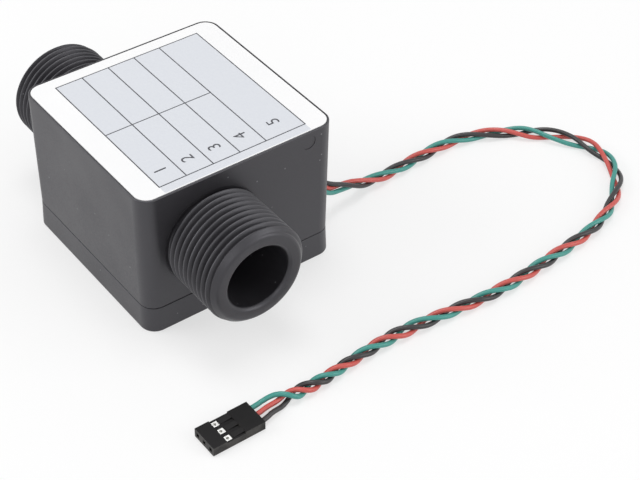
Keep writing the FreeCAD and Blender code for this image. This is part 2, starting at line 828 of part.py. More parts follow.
def electrode_o_rings():
    """Two small rubber rings under the electrode heads."""
    rings = []
    for side in ("+", "-"):
        ring = primitive_of(
            "Torus",
            Radius1="(size.electrode_shank + size.electrode_head_diameter) / 4 + size.electrode_play / 2",
            Radius2="size.electrode_seal_section / 2 - size.seal_play",
        )
        level = f"size.pipe_z {side} ({ELECTRODE_SEAT} + size.electrode_seal_section / 2)"
        rings.append(on_axis(ring, "0", "size.pipe_y", level))
    return group("electrode_o_rings", rings)


def electrode_tags():
    """Two solder tags under the nuts: the upper one points to the board, the lower one along the pipe."""
    tags = []
    half = "size.tag_width / 2"
    for name, level, right, high in (
        ("upper_tag", f"size.pipe_z + {TAG_SEAT}", half, "size.tag_length"),
        ("lower_tag", f"size.pipe_z - {NUT_SEAT}", "size.tag_length", half),
    ):
        body = new_body(name)
        plate = sketch_on(body, "XY_Plane", "0", "size.pipe_y", level)
        rectangle(plate, f"-{half}", f"-{half}", right, high)
        pad(body, plate, "size.tag_thickness")
        fillet(body, "size.tag_corner", runs_along("Z"))
        hole = sketch_on(body, "XY_Plane", "0", "size.pipe_y", level)
        circle(hole, "size.electrode_shank / 2 + size.electrode_play")
        pocket(body, hole, "size.tag_thickness", backwards=True)
        tags.append(body)
    return group("electrode_tags", tags)


def electrode_nuts():
    """Two hexagon nuts on the electrode shanks."""
    nuts = []
    for level in (f"size.pipe_z + {NUT_SEAT}", f"size.pipe_z - {NUT_SEAT} - size.nut_height"):
        hexagon = primitive_of(
            "Prism",
            Circumradius="size.nut_across_flats / sqrt(3)",
            Height="size.nut_height",
        )
        hole = primitive_of(
            "Cylinder",
            Radius="size.electrode_shank / 2 + size.nut_play",
            Height="size.nut_height",
        )
        for item in (hexagon, hole):
            on_axis(item, "0", "size.pipe_y", level)
        nuts.append(cut_from(hexagon, hole, "electrode_nut"))
    return group("electrode_nuts", nuts)


def pole_shoe(label, side):
    """Curved steel shoe against the side of the tube, with a flat round seat on its back."""
    body = new_body(label)
    inner = "(size.tube_diameter / 2 + size.pole_gap)"
    outer = f"({inner} + size.pole_thickness)"
    profile = sketch_on(body, "XY_Plane", "0", "size.pipe_y", "size.pipe_z")
    rectangle(profile, "-size.pole_length / 2", f"{side}{inner}", "size.pole_length / 2", f"{side}{outer}")
    turn(body, profile, "H_Axis", "size.pole_angle")
    root = f"({inner} + size.pole_thickness / 2)"
    seat = sketch_on(body, "XZ_Plane", "0", "size.pipe_z", f"-size.pipe_y - ({side}{root})")
    circle(seat, "size.pole_seat_diameter / 2")
    pad(body, seat, f"size.pole_seat - {root}", backwards=side == "")
    return body


def magnet_yoke():
    """Steel strip bent to a U under the tube, from the near pole shoe to the back of the coil."""
    body = new_body("magnet_yoke")
    near_in = "(size.pipe_y - size.pole_seat)"
    near_out = f"({near_in} - size.yoke_thickness)"
    far_out = f"({YOKE_Y} + size.yoke_thickness)"
    near_top = "(size.pipe_z + size.yoke_near_height)"
    far_top = "(size.pipe_z + size.yoke_far_height)"
    level_top = "(size.yoke_level + size.yoke_thickness)"
    strip = sketch_on(body, "YZ_Plane")
    outline(
        strip,
        [
            (near_out, "size.yoke_level"),
            (far_out, "size.yoke_level"),
            (far_out, far_top),
            (YOKE_Y, far_top),
            (YOKE_Y, level_top),
            (near_in, level_top),
            (near_in, near_top),
            (near_out, near_top),
        ],
    )
    pad(body, strip, "size.yoke_width", both_ways=True)
    for level, radius in (
        (level_top, "size.yoke_bend"),
        ("size.yoke_level", "size.yoke_bend + size.yoke_thickness"),
    ):
        bends = at_level(level)
        across = runs_along("X")
        fillet(body, radius, lambda edge: bends(edge) and across(edge))
    hole = sketch_on(body, "XZ_Plane", "0", "size.pipe_z", f"-{far_out}")
    circle(hole, "size.core_screw_diameter / 2 + size.core_screw_play")
    pocket(body, hole, "size.yoke_thickness", backwards=True)
    return body


def coil_core():
    """Round steel core through the coil, tapped for its screw."""
    shaft = primitive_of("Cylinder", Radius="size.core_diameter / 2", Height="size.core_length")
    tapping = primitive_of(
        "Cylinder",
        Radius="size.core_screw_diameter / 2 + size.core_screw_play",
        Height="size.core_screw_depth + size.core_screw_play",
    )
    on_axis(shaft, "0", COIL_Y, "size.pipe_z", FreeCAD.Vector(0, 1, 0))
    on_axis(
        tapping,
        "0",
        f"{YOKE_Y} - size.core_screw_depth - size.core_screw_play",
        "size.pipe_z",
        FreeCAD.Vector(0, 1, 0),
    )
    return cut_from(shaft, tapping, "coil_core")


def core_screw():
    """Socket-head screw through the yoke into the core."""
    body = new_body("core_screw")
    seat = f"({YOKE_Y} + size.yoke_thickness)"
    crown = f"({seat} + size.core_screw_head_height)"
    profile = sketch_on(body, "XY_Plane", "0", "0", "size.pipe_z")
    outline(
        profile,
        [
            ("0", f"{YOKE_Y} - size.core_screw_depth"),
            ("size.core_screw_diameter / 2", f"{YOKE_Y} - size.core_screw_depth"),
            ("size.core_screw_diameter / 2", seat),
            ("size.core_screw_head_diameter / 2", seat),
            ("size.core_screw_head_diameter / 2", crown),
            ("0", crown),
        ],
    )
    turn(body, profile, "V_Axis")
    socket = sketch_on(body, "XZ_Plane", "0", "size.pipe_z", f"-{crown}")
    corner = "size.core_screw_drive / sqrt(3)"
    outline(socket, [(f"{corner} * cos({60 * k})", f"{corner} * sin({60 * k})") for k in range(6)])
    pocket(body, socket, "size.core_screw_drive_depth", backwards=True)
    return body


def coil_bobbin():
    """Moulded spool that slides over the core."""
    body = new_body("coil_bobbin")
    bore = "(size.core_diameter / 2 + size.coil_play)"
    hub = f"({bore} + size.coil_hub_wall)"
    rim = "(size.coil_flange_diameter / 2)"
    front = f"({COIL_Y} + size.coil_play)"
    back = f"({YOKE_Y} - size.coil_play)"
    profile = sketch_on(body, "XY_Plane", "0", "0", "size.pipe_z")
    outline(
        profile,
        [
            (bore, front),
            (rim, front),
            (rim, f"{front} + size.coil_flange_thickness"),
            (hub, f"{front} + size.coil_flange_thickness"),
            (hub, f"{back} - size.coil_flange_thickness"),
            (rim, f"{back} - size.coil_flange_thickness"),
            (rim, back),
            (bore, back),
        ],
    )
    turn(body, profile, "V_Axis")
    return body


def coil_winding():
    """Copper winding between the flanges of the bobbin."""
    body = new_body("coil_winding")
    inner = "(size.core_diameter / 2 + size.coil_play + size.coil_hub_wall + size.winding_play)"
    outer = "(size.coil_flange_diameter / 2 - size.coil_fill)"
    margin = "(size.coil_play + size.coil_flange_thickness + size.winding_play)"
    profile = sketch_on(body, "XY_Plane", "0", "0", "size.pipe_z")
    rectangle(profile, inner, f"{COIL_Y} + {margin}", outer, f"{YOKE_Y} - {margin}")
    turn(body, profile, "V_Axis")
    return body


def coil_pins():
    """Two pins from the bobbin's flange through the board."""
    start = f"({YOKE_Y} - size.coil_play)"
    pins = []
    for side in ("", "-"):
        pin = primitive_of(
            "Cylinder",
            Radius="size.coil_pin_diameter / 2",
            Height=f"{BOARD_FACE} + size.coil_pin_end - {start}",
        )
        pins.append(on_axis(pin, f"{side}size.coil_pin_x", start, "size.pipe_z", FreeCAD.Vector(0, 1, 0)))
    return group("coil_pins", pins)


def circuit_board():
    """Upright board, held in the guides and between the roof and the stops of the cover."""
    body = new_body("circuit_board")
    plate = sketch_on(body, "XZ_Plane", off=f"-{BOARD_BACK}")
    half = f"{INSIDE_X} - size.board_play"
    rectangle(plate, f"-({half})", "size.board_foot", half, BOARD_TOP)
    pin_hole = "size.coil_pin_diameter / 2 + size.coil_pin_play"
    for side in ("", "-"):
        circle(plate, pin_hole, f"{side}size.coil_pin_x", "size.pipe_z")
    pad(body, plate, "size.board_thickness", backwards=True)
    return body


def chip(label, across, up, half_length, half_width, height, feet_sides, feet_each):
    """Moulded package on the board, with flat feet along two or four of its sides."""
    body = new_body(label)
    feet = sketch_on(body, "XZ_Plane", across, up, f"-{BOARD_FACE}")
    half_foot = "size.chip_foot_width / 2"
    for foot in range(feet_each):
        share = (foot + 0.5) / feet_each * 2 - 1
        for side in ("", "-"):
            inner = f"{side}({half_width} - size.chip_foot)"
            outer = f"{side}({half_width} + size.chip_foot)"
            spot = f"{share} * {half_length}"
            rectangle(feet, f"{spot} - {half_foot}", inner, f"{spot} + {half_foot}", outer)
    pad(body, feet, "size.chip_foot_thickness", backwards=True)
    if feet_sides == 4:
        side_feet = sketch_on(body, "XZ_Plane", across, up, f"-{BOARD_FACE}")
        for foot in range(feet_each):
            share = (foot + 0.5) / feet_each * 2 - 1
            spot = f"{share} * {half_width}"
            for side in ("", "-"):
                inner = f"{side}({half_length} - size.chip_foot)"
                outer = f"{side}({half_length} + size.chip_foot)"
                rectangle(side_feet, inner, f"{spot} - {half_foot}", outer, f"{spot} + {half_foot}")
        pad(body, side_feet, "size.chip_foot_thickness", backwards=True)
    package = sketch_on(body, "XZ_Plane", across, up, f"-{BOARD_FACE}")
    middle_rectangle(package, half_length, half_width)
    pad(body, package, height, backwards=True)
    chamfer(body, "size.chip_bevel", at_depth(f"{BOARD_FACE} + {height}"))
    return body


def reservoir_capacitor():
    """Can capacitor lying on the board, with the groove that crimps its rubber end."""
    body = new_body("reservoir_capacitor")
    radius = "size.capacitor_diameter / 2"
    groove = "size.capacitor_groove"
    half = "size.capacitor_length / 2"
    crimp = f"({half} - size.capacitor_groove_place)"
    middle = f"{BOARD_FACE} + {radius}"
    profile = sketch_on(body, "XY_Plane", "size.capacitor_x", middle, "size.capacitor_z")
    outline(
        profile,
        [
            (f"-{half}", "0"),
            (half, "0"),
            (half, radius),
            (f"{crimp} + {groove}", radius),
            (crimp, f"{radius} - {groove}"),
            (f"{crimp} - {groove}", radius),
            (f"-{half}", radius),
        ],
    )
    turn(body, profile, "H_Axis")
    return body


def chip_resistors():
    """Row of flat resistors along the top of the board."""
    body = new_body("chip_resistors")
    row = sketch_on(body, "XZ_Plane", "0", f"{BOARD_TOP} - size.resistor_drop", f"-{BOARD_FACE}")
    for place in range(RESISTOR_COUNT):
        middle = f"{place - (RESISTOR_COUNT - 1) / 2} * size.resistor_spacing"
        rectangle(
            row,
            f"{middle} - size.resistor_width / 2",
            "-size.resistor_length / 2",
            f"{middle} + size.resistor_width / 2",
            "size.resistor_length / 2",
        )
    pad(body, row, "size.resistor_height", backwards=True)
    return body


def lead_header():
    """Three-way header that the lead's wires start from."""
    body = new_body("lead_header")
    block = sketch_on(body, "XZ_Plane", "size.lead_x", "size.lead_z", f"-{BOARD_FACE}")
    middle_rectangle(block, "size.header_length / 2", "size.header_width / 2")
    pad(body, block, "size.header_height", backwards=True)
    chamfer(body, "size.header_bevel", at_depth(f"{BOARD_FACE} + size.header_height"))
    return body


def lead_grommet():
    """Rubber grommet snapped into the side wall, with a hole for each wire."""
    body = new_body("lead_grommet")
    wall_in = INSIDE_Y
    wall_out = f"({LEAD_WALL} + size.grommet_play)"
    neck = "(size.grommet_neck_diameter / 2)"
    flange = "(size.grommet_flange_diameter / 2)"
    inner_end = f"({wall_in} - size.grommet_inner_thickness)"
    outer_end = f"({wall_out} + size.grommet_flange_thickness)"
    profile = sketch_on(body, "XY_Plane", "size.lead_x", "0", "size.lead_z")
    outline(
        profile,
        [
            ("0", inner_end),
            (flange, inner_end),
            (flange, wall_in),
            (neck, wall_in),
            (neck, wall_out),
            (flange, wall_out),
            (flange, outer_end),
            ("0", outer_end),
        ],
    )
    turn(body, profile, "V_Axis")
    fillet(body, "size.grommet_rounding", at_depth(outer_end))
    holes = sketch_on(body, "XZ_Plane", "size.lead_x", "size.lead_z", f"-{outer_end}")
    for row in LEAD_WIRES.values():
        circle(holes, "size.wire_diameter / 2 + size.wire_play", f"{row} * size.wire_spacing")
    pocket(body, holes, f"{outer_end} - {inner_end}", backwards=True)
    return body


def round_tube(label, points, radius):
    """Solid wire along straight runs joined by tangent arcs, each as large as its shorter run allows."""
    spots = [FreeCAD.Vector(*point) for point in points]
    edges = []
    radii = []
    start = spots[0]
    for before, corner, after in zip(spots, spots[1:], spots[2:]):
        run_in = corner - before
        run_out = after - corner
        half_turn = run_in.getAngle(run_out) / 2
        reach = ARC_SHARE * min(run_in.Length, run_out.Length)
        bend = reach / math.tan(half_turn)
        radii.append(bend)
        enter = corner - FreeCAD.Vector(run_in).normalize() * reach
        leave = corner + FreeCAD.Vector(run_out).normalize() * reach
        inward = ((enter + leave) * 0.5 - corner).normalize()
        crest = corner + inward * bend * (1 / math.cos(half_turn) - 1)
        edges.append(Part.LineSegment(start, enter).toShape())
        edges.append(Part.Arc(enter, crest, leave).toShape())
        start = leave
    edges.append(Part.LineSegment(start, spots[-1]).toShape())
    path = Part.Wire(edges)
    section = Part.Wire([Part.makeCircle(radius, spots[0], spots[1] - spots[0])])
    solid = path.makePipeShell([section], True, True)
    share = solid.Volume / (math.pi * radius**2 * path.Length)
    print(f"{label}: length {path.Length:.1f}, tightest radius {min(radii):.1f}, volume share {share:.4f}")
    item = document.addObject("Part::Feature", label)
    item.Label = label
    item.Shape = solid
    return item


def tag_wire(label, start, end, sways):
    """Wire from a solder tag, slack on its way and square to the back of the board at its end."""
    first, last = (FreeCAD.Vector(*(amount(formula) for formula in place)) for place in (start, end))
    approach = last - FreeCAD.Vector(0, amount("size.tag_wire_end"), 0)
    points = [tuple(first)]
    for place, sway in enumerate(sways, 1):
        on_line = first + (approach - first) * (place / (len(sways) + 1))
        points.append(tuple(on_line + FreeCAD.Vector(*sway)))
    points += [tuple(approach), tuple(last)]
    return round_tube(label, points, amount("size.tag_wire_diameter / 2"))


def upper_tag_wire():
    """Wire over the upper tag, straight across to the board."""
    level = f"size.pipe_z + {NUT_SEAT} + {TAG_WIRE_OFF}"
    start = ("0", "size.pipe_y + size.tag_length - size.tag_wire_joint", level)
    end = ("0", f"{BOARD_BACK} - size.tag_wire_gap", level)
    return tag_wire("electrode_wire_upper", start, end, UPPER_WIRE_SWAY)


def lower_tag_wire():
    """Wire under the lower tag, round the yoke to the board."""
    level = f"size.pipe_z - {NUT_SEAT} - {TAG_WIRE_OFF}"
    start = ("size.tag_length - size.tag_wire_joint", "size.pipe_y", level)
    end = ("size.tag_wire_x", f"{BOARD_BACK} - size.tag_wire_gap", level)
    return tag_wire("electrode_wire_lower", start, end, LOWER_WIRE_SWAY)


def lead_wire(label, row):
    """One wire of the lead, beside the ribbon's middle line, spread out to its contact in the plug."""
    spots = [FreeCAD.Vector(*point) for point in LEAD_ROUTE]
    steps = [(after - before).normalize() for before, after in zip(spots, spots[1:])]
    sides = [FreeCAD.Vector(step.y, -step.x, 0).normalize() for step in steps]
    last = len(spots) - 1
    points = []
    for place, spot in enumerate(spots):
        arriving = sides[max(place - 1, 0)]
        leaving = sides[min(place, last - 1)]
        spacing = amount("size.plug_pitch") if place >= last - 1 else amount("size.wire_spacing")
        aside = (arriving + leaving) * (row * spacing / (1 + arriving.dot(leaving)))
        points.append(tuple(spot + aside))
    return round_tube(label, points, amount("size.wire_diameter / 2"))


def plug_housing():
    """Three-way plug: square sockets in front, windows over the contacts, open cavities behind."""
    body = new_body("plug_housing")
    block = sketch_on(body, "XZ_Plane", "size.plug_x", "0", "-size.plug_rear")
    rectangle(block, "-size.plug_width / 2", "0", "size.plug_width / 2", "size.plug_height")
    pad(body, block, "size.plug_length")
    chamfer(body, "size.plug_edge", runs_along("Y"))
    band = sketch_on(body, "XY_Plane", "size.plug_x", PLUG_FRONT, "size.plug_height")
    band_end = "size.plug_band_start + size.plug_band_length"
    rectangle(band, "-size.plug_width", "size.plug_band_start", "size.plug_width", band_end)
    pocket(body, band, "size.plug_band_depth")
    half = "size.plug_cavity / 2"
    sockets = sketch_on(body, "XZ_Plane", "size.plug_x", PLUG_MIDDLE, f"-{PLUG_FRONT}")
    cavities = sketch_on(body, "XZ_Plane", "size.plug_x", PLUG_MIDDLE, "-size.plug_rear")
    windows = sketch_on(body, "XY_Plane", "size.plug_x", PLUG_FRONT, "size.plug_height")
    for row in LEAD_WIRES.values():
        spot = f"{row} * size.plug_pitch"
        mouth = "size.plug_socket / 2"
        rectangle(sockets, f"{spot} - {mouth}", f"-{mouth}", f"{spot} + {mouth}", mouth)
        rectangle(cavities, f"{spot} - {half}", f"-{half}", f"{spot} + {half}", half)
        opening = "size.plug_window / 2"
        window_end = "size.plug_band_start + size.plug_window"
        rectangle(windows, f"{spot} - {opening}", "size.plug_band_start", f"{spot} + {opening}", window_end)
    pocket(body, sockets, "size.plug_nose + size.contact_play")
    pocket(body, cavities, "size.plug_length - size.plug_nose", backwards=True)
    pocket(body, windows, PLUG_MIDDLE)
    return body


def plug_contacts():
    """Three sprung contacts with their crimps, one behind each socket."""
    contacts = []
    for row in LEAD_WIRES.values():
        body = new_body("plug_contact")
        place = f"size.plug_x + {row} * size.plug_pitch"
        box = sketch_on(body, "XZ_Plane", place, PLUG_MIDDLE, f"-{CRIMP_Y}")
        middle_rectangle(box, "size.contact_width / 2", "size.contact_height / 2")
        pad(body, box, "size.contact_length - size.contact_play")
        crimp = sketch_on(body, "XZ_Plane", place, PLUG_MIDDLE, f"-({CRIMP_Y} + size.crimp_length)")
        circle(crimp, "size.crimp_diameter / 2")
        pad(body, crimp, "size.crimp_length")
        entry = sketch_on(body, "XZ_Plane", place, PLUG_MIDDLE, f"-{CONTACT_FRONT}")
        middle_rectangle(entry, "size.contact_hole / 2", "size.contact_hole / 2")
        pocket(body, entry, "size.contact_hole_depth")
        dimple = sketch_on(
            body,
            "XY_Plane",
            place,
            f"{PLUG_FRONT} + size.plug_band_start + size.plug_window / 2",
            f"{PLUG_MIDDLE} + size.contact_height / 2",
        )
        circle(dimple, "size.contact_hole / 2")
        pocket(body, dimple, "size.contact_dimple_depth")
        contacts.append(body)
    return group("plug_contacts", contacts)


nodes = [
    upper_housing(),
    bottom_cover(),
    cover_gasket(),
    cover_screws(),
    rating_label(),
    flow_tube(),
    tube_o_rings(),
    tube_clips(),
    electrode("electrode_upper", ""),
    electrode("electrode_lower", "-"),
    electrode_o_rings(),
    electrode_tags(),
    electrode_nuts(),
    pole_shoe("pole_shoe_near", "-"),
    pole_shoe("pole_shoe_far", ""),
    magnet_yoke(),
    coil_core(),
    core_screw(),
    coil_bobbin(),
    coil_winding(),
    coil_pins(),
    circuit_board(),
    chip(
        "processor_chip",
        "size.processor_x",
        "size.processor_z",
        "(size.processor_side / 2)",
        "(size.processor_side / 2)",
        "size.processor_height",
        4,
        8,
    ),
    chip(
        "amplifier_chip",
        "0",
        "size.amplifier_z",
        "(size.amplifier_length / 2)",
        "(size.amplifier_width / 2)",
        "size.amplifier_height",
        2,
        4,
    ),
    chip(
        "driver_transistor",
        "0",
        "size.transistor_z",
        "(size.transistor_length / 2)",
        "(size.transistor_width / 2)",
        "size.transistor_height",
        2,
        3,
    ),
    reservoir_capacitor(),
    chip_resistors(),
    lead_header(),
    lead_grommet(),
    upper_tag_wire(),
    lower_tag_wire(),
    plug_housing(),
    plug_contacts(),
]
nodes += [lead_wire(label, row) for label, row in LEAD_WIRES.items()]
document.recompute()

for item in document.Objects:
    if "Invalid" in item.State or "Error" in item.State:
        raise RuntimeError(f"{item.Label} failed: {item.State}")
for node in nodes:
    if node.Shape.isNull() or not node.Shape.isValid():
        raise RuntimeError(f"{node.Label} has no valid shape")

os.makedirs("parts", exist_ok=True)
for node in nodes:
    node.Shape.exportStep(f"parts/{node.Label}.step")
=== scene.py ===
"""Looks of the electromagnetic flow meter: threaded pipe, plug and lead, ruled label, finishes, studio."""
import math

import bmesh
import bpy
from mathutils import Matrix, Vector


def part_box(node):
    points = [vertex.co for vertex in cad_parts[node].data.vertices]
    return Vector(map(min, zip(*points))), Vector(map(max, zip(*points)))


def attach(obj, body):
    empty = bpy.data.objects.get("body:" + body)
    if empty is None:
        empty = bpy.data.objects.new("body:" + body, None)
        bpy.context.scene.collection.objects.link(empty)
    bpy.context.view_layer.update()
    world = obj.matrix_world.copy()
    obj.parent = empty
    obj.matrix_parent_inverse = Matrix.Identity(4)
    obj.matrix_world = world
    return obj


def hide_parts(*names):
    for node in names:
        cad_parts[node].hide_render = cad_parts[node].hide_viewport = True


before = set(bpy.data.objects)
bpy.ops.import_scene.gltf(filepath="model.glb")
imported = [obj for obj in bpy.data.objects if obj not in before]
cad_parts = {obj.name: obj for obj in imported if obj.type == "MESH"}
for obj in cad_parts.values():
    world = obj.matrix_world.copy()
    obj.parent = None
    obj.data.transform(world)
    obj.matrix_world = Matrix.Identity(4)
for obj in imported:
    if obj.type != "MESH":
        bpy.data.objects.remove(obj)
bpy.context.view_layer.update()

MM = 0.001
UP = Vector((0, 0, 1))
# Corners of the frame's meshes this close, in millimetres, are one corner, or lie at one level
SAME_CORNER = 0.0005
SAME_LEVEL = 0.01

# Camera: place in millimetres and turns in degrees, which show the object as the photograph does
CAMERA_PLACE = (276.23, -167.63, 279.06)
CAMERA_AZIMUTH = 52.567
CAMERA_ELEVATION = 41.12
CAMERA_ROLL = 1.203
CAMERA_LENS = 93.69
CAMERA_NEAREST = 10

# Spigots, in millimetres: G 3/4 thread, cut from the wall to the rounded end. A crest passes the middle of
# the case at the thread's phase, in turns. The rounding is the share of a flank that bends at crest and
# root. Steps divide a pitch and columns a turn, and spare turns of rows let every column reach both ends.
THREAD_PITCH = 1.814
THREAD_DEPTH = 1.162
THREAD_PHASE = 0.235
THREAD_ROUNDING = 0.25
THREAD_STEPS = 16
THREAD_COLUMNS = 96
SPARE_TURNS = 2
SHOULDER_LENGTH = 0.3
SHOULDER_STEP = 0.12
NECK_RELIEF = 0.5
NECK_WIDTH = 0.3
SPIGOT_CHAMFER = 1.7
END_ROUNDING = 1.2
MOUTH_CHAMFER = 0.9
MOUTH_FORM = 0.75
MOUTH_STEPS = 7
# The plain spigot that gives way, in millimetres: it starts this deep in the wall, and keeps off the bore
COLLAR_DEPTH = 1
BORE_MARGIN = 0.05
# A difference in radius counts by this share when the opening next to a ring is looked for
REACH_SHARE = 0.2
# Edges that turn by more degrees than this are sharp
SHARP_EDGE = 30

# Route of the lead's middle, in millimetres, and what the three wires do along it: each table pairs a
# distance along the route with a value
WIRE_RADIUS = 0.625
LYING = 1.45
LEAD_ROUTE = (
    (15, 24, 11.5), (15, 31.5, 11.5), (14.8, 34.8, 7.7), (14, 40.5, 5.7), (13.2, 47.5, 2.8),
    (12.8, 55.5, LYING), (11.9, 67.5, LYING), (11.3, 82.2, LYING), (18.5, 97.2, LYING),
    (30.6, 108, LYING), (43.2, 109.6, LYING), (53.8, 101.4, LYING), (60.6, 88.2, LYING),
    (62.8, 71, LYING), (64.7, 50, LYING), (63.1, 35, LYING), (61.5, 20, LYING), (62.3, 7, LYING),
    (63.7, -5, LYING), (63.1, -12.5, 1.65), (62.75, -18, 1.4), (63.46, -21.5, 1.27), (63.46, -24.8, 1.27),
)
TWIST_TURNS = (
    (4, -0.25), (12, -0.08), (17, 0), (27, 0.33), (35, 0.67), (42.5, 1), (57, 1.67), (64.5, 2),
    (74.5, 2.33), (83, 2.67), (95, 3), (102, 3.33), (112, 3.67), (121, 4), (135, 4.67), (148, 5.33),
    (161, 6), (180.5, 7), (199.5, 8), (215.8, 9), (228, 10), (233.2, 10.42), (237, 10.75),
)
TWIST_RADIUS = (
    (20, 0.95), (38, 1.1), (62, 1.05), (75, 1.3), (82, 1.9), (93, 2.1), (101, 1.3), (106, 0.95),
    (113, 1.35), (120, 0.95), (135, 0.95), (145, 1.1), (188, 1.05), (199, 1.4), (208, 1), (216, 0.85),
    (223, 0.95), (230, 1.3), (236, 1.3),
)
TWIST_HEIGHT = 0.8
SIDE_BY_SIDE = ((9, 1), (19, 0), (232.8, 0), (236.8, 1))
WIRE_SPACING = ((6, 1.36), (14, 1.45), (226, 1.7), (234.5, 1.8), (239, 1.8), (242.4, 2.54))
# Distances around a place over which a table is averaged, and how finely the line and the wires are divided
EASE = (-3, -1.5, 0, 1.5, 3)
LINE_STEPS = 32
WIRE_ROUNDNESS = 5

# Ruled table on the label, in millimetres: across the label, and the rows along it
TABLE_ENDS = (-22.95, 23.6)
TABLE_ROWS = (-20.2, -12.85, -5.45, 1.95, 9.35, 20.6)
TABLE_DIVIDER = 0.2
RULE_WIDTH = 0.3
INK_THICKNESS = 0.012
TINT_THICKNESS = 0.006
TINT_MARGIN = 0.3
NUMBER_HEIGHT = 3.2
NUMBER_MARGIN = 4.0
# Height of a figure as a share of its font's size
FIGURE_SHARE = 0.7

# Housing of the plug, in millimetres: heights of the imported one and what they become, for a deeper band
# across its top, and the chamfers of its upper edges before and after
PLUG_LEVELS = ((2.12, 1.97), (2.24, 2.1), (2.39, 2.49))
PLUG_CHAMFERS = (0.15, 0.05)
# Faces of the plug that lean back less than this, as the upward share of their normal, are walls, which get
# a painted reflection
WALL_LEAN = 0.5
# Latches of the plug, in millimetres: width, where they start and end behind its front with their heights
# there, the depth of the band's floor, and how far they sink into it
LATCH_PITCH = 2.54
LATCH_WIDTH = 1.5
LATCH_ENDS = ((5.75, 0.08), (8.7, 0.38))
LATCH_FLOOR = 0.44
LATCH_SINK = 0.05
LATCH_BEVEL = 0.05
LATCH_BEVEL_STEPS = 2

# Octaves of the noise that mottles a colour and of the one that grains a surface, and the range that their
# sum mostly keeps to
MOTTLE_DETAIL = 3.0
GRAIN_DETAIL = 2.0
NOISE_SUM = (0.75, 1.25)
# Dust on moulded faces, in millimetres, and the share of spots that has one. Real dust is finer, and this
# is drawn as coarse as it needs to show.
SPECK_SPACING = 1.5
SPECK_RADIUS = 0.25
SPECK_SHARE = 0.03
# Pale marks on worn thread crests, with a painted highlight along them: the depth below the thread's crest
# that they reach, in millimetres, and the values of the mottle between which a patch of pale marks fades
# in.
# The same patches break up the painted reflection on the plug's walls.
CREST_WEAR_AND_SHEEN_DEPTH = 0.07
SCUFF_AND_SHEEN_PATCH = (0.35, 0.6)


def link(piece):
    """Puts an object in the scene."""
    bpy.context.scene.collection.objects.link(piece)
    return piece


def make_piece(work, name):
    """Puts a finished mesh in the scene as an object."""
    mesh = bpy.data.meshes.new(name)
    work.to_mesh(mesh)
    work.free()
    return link(bpy.data.objects.new(name, mesh))


def place_camera():
    """Looks down at the corner between the front spigot and the long bare side."""
    lens = bpy.data.cameras.new("camera")
    lens.lens = CAMERA_LENS
    lens.clip_start = CAMERA_NEAREST * MM
    camera = link(bpy.data.objects.new("camera", lens))
    turn = Matrix.Rotation(math.radians(CAMERA_AZIMUTH), 4, "Z")
    tilt = Matrix.Rotation(math.radians(90 - CAMERA_ELEVATION), 4, "X")
    roll = Matrix.Rotation(math.radians(CAMERA_ROLL), 4, "Z")
    camera.matrix_world = Matrix.Translation(Vector(CAMERA_PLACE) * MM) @ turn @ tilt @ roll
    bpy.context.scene.camera = camera


def linear(colour):
    """Linear colour, with alpha, of an sRGB hex value."""
    shares = [int(colour[place:place + 2], 16) / 255 for place in (1, 3, 5)]
    return [share / 12.92 if share <= 0.04045 else ((share + 0.055) / 1.055) ** 2.4
            for share in shares] + [1.0]


def add(tree, kind, inputs=None, **settings):
    """Adds a shader node with its settings, and gives each named input a value or a link."""
    node = tree.nodes.new("ShaderNode" + kind)
    for name, value in settings.items():
        setattr(node, name, value)
    for socket, value in (inputs or {}).items():
        if isinstance(value, bpy.types.NodeSocket):
            tree.links.new(value, node.inputs[socket])
        else:
            node.inputs[socket].default_value = value
    return node


